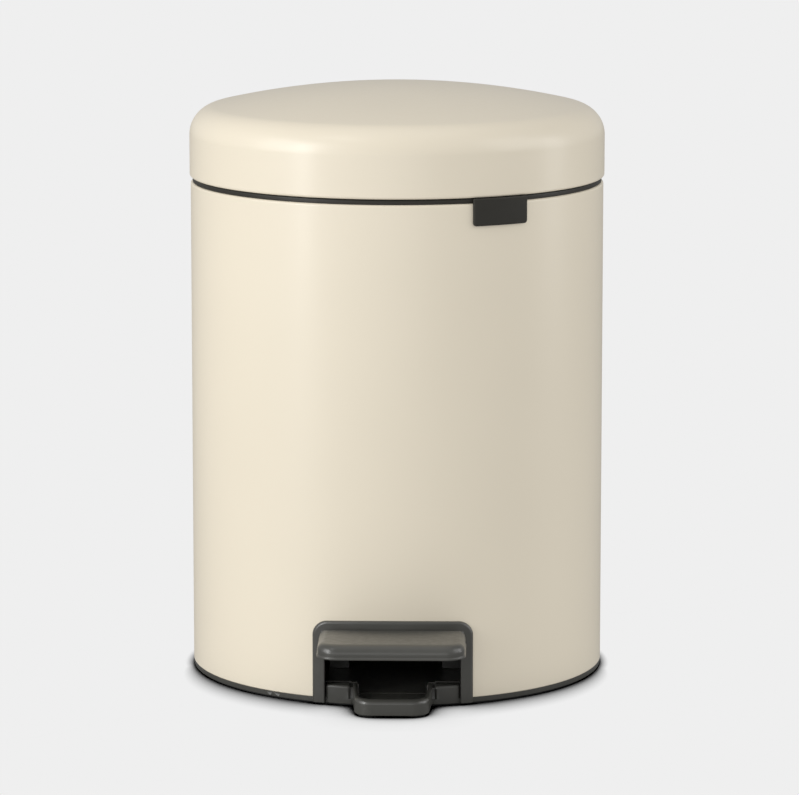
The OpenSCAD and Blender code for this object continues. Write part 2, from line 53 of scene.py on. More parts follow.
# Shapes are worked out in millimetres and written to meshes in metres.
MM = 0.001
COLUMNS = 256
record = frame["record"]
BODY = {n: b for b, nodes in record["behaviour"]["bodies"].items() for n in nodes}
SLOT = {p["node"]: p["material_slot"] for p in record["subparts"]}
# The base's foot shows beside the pedal and has the pedal's satin finish in the photo.
SLOT["base_moulding"] = "pedal_plastic"
scene = bpy.context.scene


def box_mm(node):
    low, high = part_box(node)
    return low / MM, high / MM


# ---------- materials ----------


class Tree:
    """The node tree of a material or a world, with short ways to add and join nodes."""

    def __init__(self, owner):
        owner.use_nodes = True
        self.tree = owner.node_tree
        self.tree.nodes.clear()

    def add(self, kind, **values):
        node = self.tree.nodes.new(kind)
        for key, value in values.items():
            if hasattr(node, key):
                setattr(node, key, value)
            else:
                node.inputs[key.replace("_", " ")].default_value = value
        return node

    def join(self, a, out, b, into):
        self.tree.links.new(a.outputs[out], b.inputs[into])

    def spread(self, source, low, high, start=0.3, end=0.7):
        """The source's values from start to end, spread from low to high."""
        node = self.add("ShaderNodeMapRange")
        for key, value in zip(
            ("From Min", "From Max", "To Min", "To Max"), (start, end, low, high)
        ):
            node.inputs[key].default_value = value
        self.join(*source, node, "Value")
        return node, "Result"

    def ramp(self, source, stops):
        """A colour for each of the source's values, from stops of (value, colour)."""
        node = self.add("ShaderNodeValToRGB")
        elements = node.color_ramp.elements
        for i, (at, colour) in enumerate(stops):
            stop = elements[i] if i < len(elements) else elements.new(at)
            stop.position = at
            stop.color = (*colour, 1)
        self.join(*source, node, "Fac")
        return node, "Color"


class Nodes(Tree):
    """A material with one principled shader, and the textures that drive it."""

    def __init__(self, name):
        self.material = bpy.data.materials.new(name)
        super().__init__(self.material)
        output = self.add("ShaderNodeOutputMaterial")
        self.shader = self.add("ShaderNodeBsdfPrincipled")
        self.join(self.shader, "BSDF", output, "Surface")
        self.place = self.add("ShaderNodeTexCoord")

    def stretched(self, scale):
        """Object coordinates, stretched by a different amount along each axis."""
        mapping = self.add("ShaderNodeMapping")
        mapping.inputs["Scale"].default_value = scale
        self.join(self.place, "Object", mapping, "Vector")
        return mapping, "Vector"

    def noise(self, scale, detail=2.0, rough=0.5, source=None):
        node = self.add("ShaderNodeTexNoise", Scale=scale, Detail=detail, Roughness=rough)
        self.join(*(source or (self.place, "Object")), node, "Vector")
        return node, "Fac"

    def cells(self, scale):
        """Distance to the nearest of many scattered points, smoothed between them."""
        node = self.add("ShaderNodeTexVoronoi", feature="SMOOTH_F1", Scale=scale)
        self.join(self.place, "Object", node, "Vector")
        return node, "Distance"

    def mix(self, share, a, b):
        """Two colours, mixed by a source. The first may be a source or a plain colour."""
        node = self.add("ShaderNodeMix", data_type="RGBA")
        factor, first, second, result = 0, 6, 7, 2
        self.join(*share, node, factor)
        if hasattr(a[0], "outputs"):
            self.join(*a, node, first)
        else:
            node.inputs[first].default_value = (*a, 1)
        node.inputs[second].default_value = (*b, 1)
        return node, result

    def bump(self, source, strength, depth, under=None):
        node = self.add("ShaderNodeBump", Strength=strength, Distance=depth)
        self.join(*source, node, "Height")
        if under:
            self.join(*under, node, "Normal")
        return node, "Normal"

    def drive(self, socket, source):
        self.join(*source, self.shader, socket)

    def fix(self, **values):
        """Constants on the shader's own sockets."""
        for key, value in values.items():
            self.shader.inputs[key.replace("_", " ")].default_value = value


def shade(colour, share):
    return tuple(c * share for c in colour)


def powder_coat(name, colour):
    """Satin powder coat on sheet steel: faint orange peel and speckle under a thin gloss."""
    m = Nodes(name)
    tone = m.ramp(m.noise(9, 2), [(0.3, shade(colour, 0.985)), (0.7, shade(colour, 1.012))])
    speck = m.spread(m.noise(5200, 2, 0.7), 0, 0.16, 0.52, 0.72)
    m.drive("Base Color", m.mix(speck, tone, shade(colour, 0.9)))
    m.drive("Roughness", m.spread(m.noise(420, 3), 0.32, 0.39))
    peel = m.bump(m.noise(620, 2, 0.45), 0.16, 0.00004)
    m.drive("Normal", m.bump(m.noise(4200, 2), 0.1, 0.000012, peel))
    m.fix(Specular_IOR_Level=0.5, Coat_Weight=0.22, Coat_Roughness=0.2)
    return m.material


def plastic(name, colour, rough, grain=2600, depth=0.00003, wear=1.35, gloss=0.5):
    """Moulded plastic with a fine eroded grain and edges rubbed a little lighter."""
    m = Nodes(name)
    tone = m.ramp(m.noise(26, 3), [(0.32, shade(colour, 0.93)), (0.68, shade(colour, 1.07))])
    geometry = m.add("ShaderNodeNewGeometry")
    edge = m.spread((geometry, "Pointiness"), 0, 0.5, 0.52, 0.62)
    m.drive("Base Color", m.mix(edge, tone, shade(colour, wear)))
    m.drive("Roughness", m.spread(m.noise(310, 3), *rough))
    pits = m.bump(m.cells(grain), 0.35, depth)
    m.drive("Normal", m.bump(m.noise(grain * 0.45, 3, 0.6), 0.3, depth, pits))
    m.fix(Specular_IOR_Level=gloss)
    return m.material


def steel(name, colour):
    """Zinc-plated steel: rolled streaks, a faint spangle and a soft, uneven shine."""
    m = Nodes(name)
    spangle = m.noise(240, 3, 0.6)
    tone = m.ramp(spangle, [(0.3, shade(colour, 0.82)), (0.7, shade(colour, 1.08))])
    dull = m.spread(m.noise(60, 4, 0.65), 0, 0.35, 0.5, 0.7)
    m.drive("Base Color", m.mix(dull, tone, shade(colour, 0.6)))
    streaks = m.noise(900, 3, 0.6, m.stretched((1, 0.06, 1)))
    m.drive("Roughness", m.spread(streaks, 0.26, 0.44))
    m.drive("Normal", m.bump(streaks, 0.12, 0.00002))
    m.fix(Metallic=1.0)
    return m.material


def rubber(name, colour):
    """Matt rubber with a dusty bloom."""
    m = Nodes(name)
    bloom = m.spread(m.noise(70, 4, 0.7), 0, 0.5, 0.45, 0.75)
    m.drive("Base Color", m.mix(bloom, colour, shade(colour, 2.1)))
    m.drive("Roughness", m.spread(m.noise(400, 2), 0.72, 0.86))
    m.drive("Normal", m.bump(m.noise(3000, 3, 0.6), 0.4, 0.00004))
    m.fix(Specular_IOR_Level=0.35)
    return m.material


def waxy(name, colour):
    """Natural bearing plastic: milky, smooth, and a little see-through."""
    m = Nodes(name)
    tone = m.ramp(m.noise(50, 2), [(0.3, shade(colour, 0.96)), (0.7, shade(colour, 1.03))])
    m.drive("Base Color", tone)
    m.drive("Roughness", m.spread(m.noise(500, 2), 0.3, 0.4))
    m.drive("Normal", m.bump(m.noise(1500, 2), 0.15, 0.00002))
    m.fix(Subsurface_Weight=0.15, Subsurface_Scale=0.002)
    return m.material


MATERIAL = {
    "beige_steel": powder_coat("beige_powder_coat", (0.80, 0.725, 0.585)),
    "bare_steel": steel("zinc_steel", (0.62, 0.62, 0.61)),
    "dark_plastic": plastic(
        "dark_grained_plastic", (0.030, 0.028, 0.023), (0.36, 0.46), gloss=0.3),
    "pedal_plastic": plastic(
        "pedal_satin_plastic", (0.058, 0.057, 0.050), (0.28, 0.36),
        grain=3400, depth=0.000012, wear=1.15, gloss=0.75),
    "bucket_plastic": plastic(
        "bucket_plastic", (0.050, 0.050, 0.051), (0.38, 0.5), grain=1900, wear=1.2),
    "black_steel": plastic(
        "black_coated_steel", (0.040, 0.038, 0.035), (0.34, 0.46),
        grain=5200, depth=0.000012, wear=1.9),
    "light_plastic": waxy("natural_plastic", (0.74, 0.72, 0.66)),
    "black_rubber": rubber("black_rubber", (0.018, 0.018, 0.018)),
}

# ---------- outlines ----------


def arc(centre, radius, start, end, steps):
    """Points on a circle from one angle to another, in degrees, both ends included."""
    turns = [math.radians(start + (end - start) * k / steps) for k in range(steps + 1)]
    return [(centre[0] + radius * math.cos(t), centre[1] + radius * math.sin(t)) for t in turns]


def filleted(corners, steps=5):
    """A closed outline whose corners (a, b, radius) are rounded. A corner that is too tight
    for its radius gets a smaller one."""
    points = []
    for i, (a, b, radius) in enumerate(corners):
        here = Vector((a, b))
        if not radius:
            points.append((a, b))
            continue
        back = Vector(corners[i - 1][:2]) - here
        ahead = Vector(corners[(i + 1) % len(corners)][:2]) - here
        half = back.angle(ahead) / 2
        reach = min(radius / math.tan(half), 0.49 * back.length, 0.49 * ahead.length)
        radius = reach * math.tan(half)
        back.normalize()
        ahead.normalize()
        centre = here + (back + ahead).normalized() * (radius / math.sin(half))
        first = here + back * reach - centre
        last = here + ahead * reach - centre
        start = math.atan2(first.y, first.x)
        swing = (math.atan2(last.y, last.x) - start + math.pi) % (2 * math.pi) - math.pi
        for k in range(steps + 1):
            t = start + swing * k / steps
            points.append((centre.x + radius * math.cos(t), centre.y + radius * math.sin(t)))
    return points


def inset(outline, amounts):
    """The closed outline moved inwards, by one amount or by one for each point."""
    if not hasattr(amounts, "__len__"):
        amounts = [amounts] * len(outline)
    points = [Vector(p) for p in outline]
    area = sum(a.x * b.y - b.x * a.y for a, b in zip(points, points[1:] + points[:1]))
    sign = 1 if area > 0 else -1
    moved = []
    for i, amount in enumerate(amounts):
        before = (points[i] - points[i - 1]).normalized()
        after = (points[(i + 1) % len(points)] - points[i]).normalized()
        normal = Vector((-(before.y + after.y), before.x + after.x)).normalized()
        lean = max(0.4, normal.dot(Vector((-before.y, before.x))))
        moved.append(tuple(points[i] + normal * (sign * amount / lean)))
    return moved


def smooth_step(value, start, end):
    """From 0 at the start to 1 at the end, level at both."""
    t = max(0.0, min(1.0, (value - start) / (end - start)))
    return t * t * (3 - 2 * t)


# ---------- solids ----------


def lathe(outline, columns=COLUMNS):
    """A closed outline of (radius, height) turned about the Z axis."""
    bm = bmesh.new()
    turns = [2 * math.pi * k / columns for k in range(columns)]
    rings = []
    for r, z in outline:
        if r < 1e-6:
            rings.append([bm.verts.new((0, 0, z * MM))])
        else:
            rings.append([bm.verts.new(
                (r * math.sin(t) * MM, -r * math.cos(t) * MM, z * MM)) for t in turns])
    for a, b in zip(rings, rings[1:] + rings[:1]):
        if len(a) == len(b) == 1:
            continue
        for k in range(columns):
            m = (k + 1) % columns
            loop = [a[k % len(a)], a[m % len(a)], b[m % len(b)], b[k % len(b)]]
            bm.faces.new(list(dict.fromkeys(loop)))
    return bm


def prism(outline, axis, low, high):
    """A closed outline in the two other axes, drawn out along one axis."""
    bm = bmesh.new()

    def at(p, level):
        a, b = p
        point = {"x": (level, a, b), "y": (a, level, b), "z": (a, b, level)}[axis]
        return bm.verts.new([c * MM for c in point])

    ends = [[at(p, level) for p in outline] for level in (low, high)]
    for end in ends:
        bm.faces.new(end)
    for k in range(len(outline)):
        m = (k + 1) % len(outline)
        bm.faces.new([ends[0][k], ends[0][m], ends[1][m], ends[1][k]])
    bmesh.ops.recalc_face_normals(bm, faces=bm.faces)
    return bm


def block(x, y, z, radius=0.0, steps=2):
    """A block between two values along each axis, its edges rounded."""
    bm = prism([(x[0], y[0]), (x[1], y[0]), (x[1], y[1]), (x[0], y[1])], "z", *z)
    return round_edges(bm, radius, steps) if radius else bm


def round_edges(bm, width, steps=2, angle=35, keep=None, shortest=0.0):
    """Rounds the edges that are sharper than an angle and not too short, in place. Where keep
    is given, it picks them by the place of their middle, in millimetres."""
    edges = [
        e
        for e in bm.edges
        if len(e.link_faces) == 2
        and e.calc_face_angle(0) > math.radians(angle)
        and e.calc_length() >= shortest * MM
        and (keep is None or keep((e.verts[0].co + e.verts[1].co) / 2 / MM))
    ]
    if edges:
        bmesh.ops.bevel(
            bm, geom=edges, offset=width * MM, offset_type="OFFSET", segments=steps,
            profile=0.5, affect="EDGES", clamp_overlap=False)
    return bm


def loft(rings):
    """Rings of points with equal counts, joined in order into a closed skin."""
    bm = bmesh.new()
    verts = [[bm.verts.new([c * MM for c in p]) for p in ring] for ring in rings]
    for a, b in zip(verts, verts[1:]):
        for k in range(len(a)):
            m = (k + 1) % len(a)
            bm.faces.new([a[k], a[m], b[m], b[k]])
    for end in (verts[0], verts[-1]):
        bm.faces.new(end)
    return bm


def clean(bm):
    """Joins split corners and makes flat faces whole."""
    bmesh.ops.remove_doubles(bm, verts=bm.verts, dist=0.002 * MM)
    bmesh.ops.dissolve_limit(
        bm, angle_limit=math.radians(0.4), verts=bm.verts, edges=bm.edges)


def mesh_of(data):
    bm = bmesh.new()
    bm.from_mesh(data)
    return bm


def cad_copy(node):
    bm = mesh_of(frame["nodes"][node].data)
    clean(bm)
    return bm


# ---------- pieces ----------


# Edges that turn by more than this many degrees stay sharp in the shading.
SHARP = 32


def as_object(name, bm):
    bmesh.ops.recalc_face_normals(bm, faces=bm.faces)
    mesh = bpy.data.meshes.new(name)
    bm.to_mesh(mesh)
    bm.free()
    obj = bpy.data.objects.new(name, mesh)
    scene.collection.objects.link(obj)
    return obj


def combine(obj, bm, operation="DIFFERENCE"):
    """Cuts a solid from the object, or joins one to it, and keeps the result as its mesh."""
    other = as_object("tool", bm)
    modifier = obj.modifiers.new("tool", "BOOLEAN")
    modifier.object = other
    modifier.operation = operation
    modifier.solver = "EXACT"
    bpy.context.view_layer.update()
    made = obj.evaluated_get(bpy.context.evaluated_depsgraph_get())
    mesh = bpy.data.meshes.new_from_object(made)
    obj.modifiers.clear()
    obj.data = mesh
    bpy.data.objects.remove(other)
    return obj


def put_in_place(obj, node):
    """Smooths the piece, gives it its material, and lets it stand for its CAD node."""
    mesh = obj.data
    mesh.materials.clear()
    mesh.materials.append(MATERIAL[SLOT[node]])
    mesh.polygons.foreach_set("use_smooth", [True] * len(mesh.polygons))
    mesh.set_sharp_from_angle(angle=math.radians(SHARP))
    even = obj.modifiers.new("even_normals", "WEIGHTED_NORMAL")
    even.keep_sharp = True
    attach(obj, BODY[node])
    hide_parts(node)


def piece(node, bm):
    put_in_place(as_object(node + "_piece", bm), node)


shell_low, shell_high = box_mm("outer_shell")
BODY_R, BODY_TOP, BAND_TOP = shell_high.x, shell_high.z, shell_low.z
# thickness of the sheet steel, and radius of its rolled edges
SHEET = 1.0
ROLL = 1.2
ROLL_MEETS_SHEET = math.degrees(math.acos((ROLL - SHEET) / ROLL))
# the opening at the rear that the crank goes through: half its width, and its lower end
CRANK_HALF, CRANK_FLOOR = 11, 231
# a height above the lid and a distance past the rear wall, for tools that cut right through
ABOVE, BEYOND = 300, 200


def make_outer_shell():
    """The rolled body, with the openings for the pedal in front and the crank at the rear."""
    curl = (BODY_R - ROLL, BODY_TOP - ROLL)
    inner, broken = BODY_R - SHEET, 0.3
    outline = [(BODY_R - broken, BAND_TOP), (BODY_R, BAND_TOP + broken)]
    outline += arc(curl, ROLL, 0, 360 - ROLL_MEETS_SHEET, 30)
    outline += [(inner, BAND_TOP + broken), (inner + broken, BAND_TOP)]
    shell = as_object("outer_shell_piece", lathe(outline))
    # the frame covers the opening's edge by this much beside and above
    bezel, cover_beside, cover_above = box_mm("pedal_bezel")[1], 4.25, 4.5
    half, top = bezel.x - cover_beside, bezel.z - cover_above
    front = filleted([(-half, -5, 0), (half, -5, 0), (half, top, 5), (-half, top, 5)])
    combine(shell, prism(front, "y", -BEYOND, 0))
    notch = filleted([(-CRANK_HALF, CRANK_FLOOR, 2), (CRANK_HALF, CRANK_FLOOR, 2),
                      (CRANK_HALF, ABOVE, 0), (-CRANK_HALF, ABOVE, 0)])
    combine(shell, prism(notch, "y", 0, BEYOND))
    put_in_place(shell, "outer_shell")


def make_lid_shell():
    """A shallow dome, a round shoulder and an upright side with a rolled edge."""
    low, high = box_mm("lid_shell")
    lid_r, bottom, apex = high.x, low.z, high.z
    dome_r, shoulder_r = 405.0, 14.7
    centre_z = apex - dome_r
    across = lid_r - shoulder_r
    shoulder_z = centre_z + math.sqrt((dome_r - shoulder_r) ** 2 - across**2)
    tilt = math.degrees(math.asin(across / (dome_r - shoulder_r)))
    outline = arc((0, centre_z), dome_r, 90, 90 - tilt, 40)
    outline[0] = (0, apex)
    outline += arc((across, shoulder_z), shoulder_r, 90 - tilt, 0, 22)[1:]
    outline += arc((lid_r - ROLL, bottom + ROLL), ROLL, 0, ROLL_MEETS_SHEET - 360, 30)
    outline += arc((across, shoulder_z), shoulder_r - SHEET, 0, 90 - tilt, 22)
    outline += arc((0, centre_z), dome_r - SHEET, 90 - tilt, 90, 40)[1:]
    outline[-1] = (0, apex - SHEET)
    lid = as_object("lid_shell_piece", lathe(outline, 320))
    half, top = 15.5, 253
    notch = filleted([(-half, 240, 0), (half, 240, 0), (half, top, 2), (-half, top, 2)])
    combine(lid, prism(notch, "y", 0, BEYOND))
    put_in_place(lid, "lid_shell")


def make_top_rim():
    """The ring in the body's mouth: a skirt, a flange over the rolled edge, and a lip."""
    low, high = box_mm("top_rim")
    outer, inner, skirt = high.x, 90.5, low.z
    top, lip = 246.0, high.z
    outline = filleted([
        (98, skirt, 0.3), (99.2, skirt, 0.3), (99.2, BODY_TOP, 0), (outer, BODY_TOP, 0.4),
        (outer, top, 0.9), (95.4, top, 0.4), (95.4, lip, 0.6), (94, lip, 0.6),
        (94, top, 0.5), (inner, top, 0.8), (inner, BODY_TOP, 0.5), (98, BODY_TOP, 0.5)])
    rim = as_object("top_rim_piece", lathe(outline))
    combine(rim, block((-CRANK_HALF, CRANK_HALF), (50, BEYOND), (CRANK_FLOOR, ABOVE)))
    knuckle_half, knuckle_front = 18, 92
    combine(rim, block((-knuckle_half, knuckle_half), (knuckle_front, BEYOND), (top, ABOVE)))
    put_in_place(rim, "top_rim")


def make_rim_tab():
    """The tab is built flat, then bent round the rim. It is blank."""
    low, high = box_mm("rim_tab")
    turn = math.radians(30.1)
    half, inner, outer = 14.8, BODY_R + 0.1, BODY_R + 1.5
    z0, z1 = low.z, high.z
    plate = filleted([(-half, z0, 1.5), (half, z0, 1.5), (half, z1, 0.6), (-half, z1, 0.6)], 6)
    tab = as_object("rim_tab_piece", prism(plate, "y", -outer, -inner))
    bm = mesh_of(tab.data)
    round_edges(bm, 0.55, 4, 50, lambda p: p.y < -outer + 0.1)
    bm.to_mesh(tab.data)
    bm.free()
    hook = block((-half + 0.8, half - 0.8), (-inner - 0.4, 0.05 - box_mm("top_rim")[1].x),
                 (BODY_TOP + 0.1, z1 - 0.4))
    combine(tab, hook, "UNION")
    bm = mesh_of(tab.data)
    steps = 24
    for k in range(1, steps):
        at = (-half + 2 * half * k / steps) * MM
        bmesh.ops.bisect_plane(
            bm, geom=bm.verts[:] + bm.edges[:] + bm.faces[:], plane_co=(at, 0, 0),
            plane_no=(1, 0, 0))
    for v in bm.verts:
        r = -v.co.y
        t = v.co.x / (outer * MM) + turn
        v.co = Vector((r * math.sin(t), -r * math.cos(t), v.co.z))
    bm.to_mesh(tab.data)
    bm.free()
    put_in_place(tab, "rim_tab")


def arch_path(half, low, high, corner):
    """Up one side of an arch, over the top and down the other, in a fixed number of points."""
    sides = [low + (high - corner - low) * k / 10 for k in range(10)]
    left = [(-half, z) for z in sides]
    over = [(-half + corner + 2 * (half - corner) * k / 48, high) for k in range(1, 48)]
    path = left + arc((corner - half, high - corner), corner, 180, 90, 12)
    path += over + arc((half - corner, high - corner), corner, 90, 0, 12)
    return path + [(-x, z) for x, z in reversed(left)]


def make_pedal_bezel():
    """The frame: one section carried along an arch, and bent to the body's round wall."""
    low, high = box_mm("pedal_bezel")
    half, top, face, foot = high.x, high.z, -low.y, low.z
    back, neck = BODY_R + 0.05, 99.2
    width, width_above, collar, soft, soft_inside = 6, 6.5, 4.55, 1.3, 0.8
    # distance in from the outer edge, radius, and height of the lower end
    section = [(0, back, foot), (0, face - soft, foot)]
    section += [(soft - soft * math.cos(t), face - soft + soft * math.sin(t), foot)
                for t in [math.radians(a) for a in (15, 30, 45, 60, 75, 90)]]
    section += [(3.2, face, foot)]
    section += [(width - soft_inside + soft_inside * math.sin(t),
                 face - soft_inside + soft_inside * math.cos(t), foot)
                for t in [math.radians(a) for a in (0, 22, 45, 68, 90)]]
    # the collar that goes through the opening ends just above the base's band
    above_band = BAND_TOP + 0.05
    section += [(width, back, foot), (width, back - 0.02, above_band), (width, neck, above_band),
                (collar, neck, above_band), (collar, back - 0.02, above_band),
                (collar, back, foot)]
    outer_corner = 7
    # radius of the outer edge's slight crown
    crown = 480

    def lowered(x, z, share):
        """The outer edge is crowned: its height falls a little away from the middle."""
        drop = crown - math.sqrt(crown**2 - x * x)
        return z - drop * share * max(0.0, (z - foot) / (top - foot))

    bm = bmesh.new()
    lines = []
    for d, r, end in section:
        path = arch_path(half - d, end, top - d * width_above / width, outer_corner - 0.5 * d)
        path = [(x, lowered(x, z, 1 - d / width)) for x, z in path]
        lines.append([bm.verts.new((x * MM, -math.sqrt(r * r - x * x) * MM, z * MM))
                      for x, z in path])
    for a, b in zip(lines, lines[1:] + lines[:1]):
        for k in range(len(a) - 1):
            bm.faces.new([a[k], a[k + 1], b[k + 1], b[k]])
    # each lower end is closed by the frame's end, the collar's end and the step between them
    n = len(lines)
    for k in (0, -1):
        for end in ([*range(n - 5), n - 1], range(n - 5, n - 1), (n - 6, n - 5, n - 2, n - 1)):
            bm.faces.new([lines[i][k] for i in end])
    piece("pedal_bezel", bm)


def make_pedal_pad():
    """The foot plate: a beaded lower edge, and an upper edge that is rounder in front."""
    low, high = box_mm("pedal_pad")
    front, rear, half, top, lip = low.y, high.y, high.x, high.z, low.z
    # rounding of the upper edge at the sides, in front and at the rear
    side_r, front_r, rear_r = 3.8, 4.6, 1.0
    front_corner, rear_corner = 10.0, 1.6

    def outline(side, ahead, behind):
        """The plan, set in at the sides, in front and at the rear, in a fixed order of points."""
        x, y0, y1 = half - side, front + ahead, rear - behind
        points, near = [], []
        corners = (
            (-1, y0, 1, front_corner, 180, 14), (1, y0, 1, front_corner, 270, 14),
            (1, y1, -1, rear_corner, 0, 6), (-1, y1, -1, rear_corner, 90, 6))
        for across, y, along, radius, turn, steps in corners:
            radius = max(0.4, radius - max(side, ahead if along > 0 else behind))
            for k in range(steps + 1):
                t = math.radians(turn + 90 * k / steps)
                points.append((across * (x - radius) + radius * math.cos(t),
                               y + along * radius + radius * math.sin(t)))
                # 1 where the outline faces the side, 0 where it faces front or rear
                share = math.cos(t) ** 2
                end = front_r if along > 0 else rear_r
                near.append(end + (side_r - end) * share)
        return points, near

    step = 0.35
    # inset from the plan's outline, and height
    skirt = [(2.9, top - 2.8), (2.7, lip + 0.4), (2.3, lip), (0.35, lip), (0.1, lip + 0.1),
             (0, lip + 0.3), (0, lip + 0.7), (0.1, lip + 0.9), (0.28, lip + 1.05),
             (step, lip + 1.2), (step, lip + 1.5)]
    rings = [[(x, y, z) for x, y in outline(d, d, d)[0]] for d, z in skirt]
    for k in range(13):
        t = math.radians(7.5 * k)
        in_by = [step + r * (1 - math.cos(t)) for r in (side_r, front_r, rear_r)]
        points, soft = outline(*in_by)
        rings.append([(x, y, top - r * (1 - math.sin(t))) for (x, y), r in zip(points, soft)])
    points, _ = outline(side_r + 1, front_r + 1, rear_r + 0.7)
    rings.append([(x, y, top) for x, y in points])
    pad = as_object("pedal_pad_piece", loft(rings))
    # open below, where the lever's end goes in
    hollow_half, hollow_front, plate = 31, -112, 2.85
    combine(pad, block((-hollow_half, hollow_half), (hollow_front, rear + 5),
                       (lip - 5, top - plate)))
    put_in_place(pad, "pedal_pad")


def foot_solid(root_x, rear, front, base):
    """The dished front foot: a rounded wall that is thicker in front, round a shallow tray."""
    corner, tip_x, root_z, lip_z = 8.6, root_x - 1.4, 9.4, 8.8
    side = [(root_x - 1.4 * smooth_step(-y, 92, 120), y) for y in range(-96, -115, -2)]
    side = [(root_x, rear)] + side
    turn = arc((tip_x - corner, front + corner), corner, 0, -90, 16)
    right = side + turn
    plan = right + [(-x, y) for x, y in reversed(right)]
    wall, outer, height = [], [], []
    for _, y in plan:
        ahead = smooth_step(-y, 113, 124)
        wall.append(2.3 + 2.4 * ahead)
        outer.append(1.15 + 1.35 * ahead)
        height.append(root_z + (lip_z - root_z) * smooth_step(-y, 100, 119))
    rings = [[(x, y, z) for x, y in inset(plan, d)]
             for d, z in ((0.5, base), (0.15, base + 0.15), (0, base + 0.5), (0, base + 2))]

    def ring(insets, heights):
        rings.append([(x, y, z) for (x, y), z in zip(inset(plan, insets), heights)])

    for k in range(9):
        t = math.radians(11.25 * k)
        ring([r * (1 - math.cos(t)) for r in outer],
             [h - r * (1 - math.sin(t)) for h, r in zip(height, outer)])
    for k in range(1, 9):
        t = math.radians(11.25 * k)
        ring([r + (w - r) * math.sin(t) for w, r in zip(wall, outer)],
             [h - (w - r) * (1 - math.cos(t)) for h, w, r in zip(height, wall, outer)])
    tray = BAND_TOP + 0.7
    for d, z in ((0.15, tray + 1), (0.4, tray + 0.35), (1, tray)):
        ring([w + d for w in wall], [z] * len(plan))
    return loft(rings)


def make_base_moulding():
    """The CAD's base with its front drawn again: band, two soft blocks and the dished foot."""
    low, high = box_mm("base_moulding")
    band_r, front = high.x, low.y
    root_x, ear_in, ear_out, ear_top, rear = 19.4, 20.3, 32.4, 9.8, -88.6
    before = -160
    base = as_object("base_moulding_piece", cad_copy("base_moulding"))
    # the CAD's blocks and foot are cut off, and the band is made whole where they stood
    redrawn_half, foot_half = 34, ear_in - 0.2
    combine(base, block((-redrawn_half, redrawn_half), (before, rear), (BAND_TOP - 0.01, 30)))
    combine(base, block((-foot_half, foot_half), (before, -96.9), (-5, 10)))
    rim = [(x, -math.sqrt((band_r - 0.02) ** 2 - x * x)) for x in range(-24, 25, 2)]
    patch = [(24, -94), (-24, -94)] + rim
    combine(base, prism(patch, "z", low.z + 0.02, BAND_TOP - 0.02), "UNION")
    for side in (-1, 1):
        face = [(side * x, -math.sqrt(band_r**2 - x * x)) for x in (24, 26, 28)]
        ends = [(side * x, -math.sqrt(band_r**2 - x * x), 1.7) for x in (ear_in, ear_out)]
        plan = [(side * ear_in, rear - 1.5, 0), ends[0]] + [(*p, 0) for p in face]
        plan += [ends[1], (side * ear_out, rear - 1.5, 0)]
        plan, soft = filleted(plan, 8), 1.2
        rings = [(0, low.z + 1)] + [
            (soft * (1 - math.cos(t)), ear_top - soft * (1 - math.sin(t)))
            for t in [math.radians(15 * k) for k in range(7)]]
        combine(base, loft([[(x, y, z) for x, y in inset(plan, d)] for d, z in rings]), "UNION")
        x = sorted((side * (root_x - 1.2), side * (ear_in + 1.5)))
        link = block(x, (-98.3, rear - 1), (low.z + 1, ear_top - 1), 0.4)
        combine(base, link, "UNION")
    combine(base, foot_solid(root_x, rear - 2, front, low.z), "UNION")
    # the tray runs on through the opening, at the height of the foot's own tray
    tray_half = root_x - 2.9
    combine(base, block((-tray_half, tray_half), (-95, -80), (BAND_TOP + 0.7, 20)))
    bm = mesh_of(base.data)
    clean(bm)
    # the edges inside are broken, behind what was drawn again
    round_edges(bm, 0.4, 2, 50, lambda p: p.y > -86 and p.xy.length < 100)
    bm.to_mesh(base.data)
    bm.free()
    put_in_place(base, "base_moulding")


def make_inner_bucket():
    """A tapered bucket with a flange, and two ears that the bail turns in."""
    flange, floor_z, pivot_z = 88.2, box_mm("inner_bucket")[0].z, 242.3
    top, floor_r, wall = 238.5, 76.0, 1.6
    outline = filleted([
        (0, floor_z, 0), (floor_r - 1, floor_z, 2), (flange - 1.4, top - 2.5, 0.4),
        (flange, top - 2.5, 0.5), (flange, top, 1.1), (flange - 3, top, 1.1),
        (floor_r - wall - 0.6, floor_z + wall, 4), (0, floor_z + wall, 0)])
    bucket = as_object("inner_bucket_piece", lathe(outline))
    for side in (-1, 1):
        ear = filleted([(-4, top - 0.8, 0), (4, top - 0.8, 0), (4, pivot_z + 4, 4),
                        (-4, pivot_z + 4, 4)], 10)
        x = sorted((side * 84.9, side * 87.4))
        combine(bucket, round_edges(prism(ear, "x", *x), 0.35, 2), "UNION")
        bore = arc((0, pivot_z), 1.46, 0, 360, 32)[:-1]
        combine(bucket, prism(bore, "x", x[0] - 1, x[1] + 1))
    put_in_place(bucket, "inner_bucket")


make_outer_shell()
make_lid_shell()
make_top_rim()
make_rim_tab()
make_pedal_bezel()
make_pedal_pad()
make_base_moulding()
make_inner_bucket()

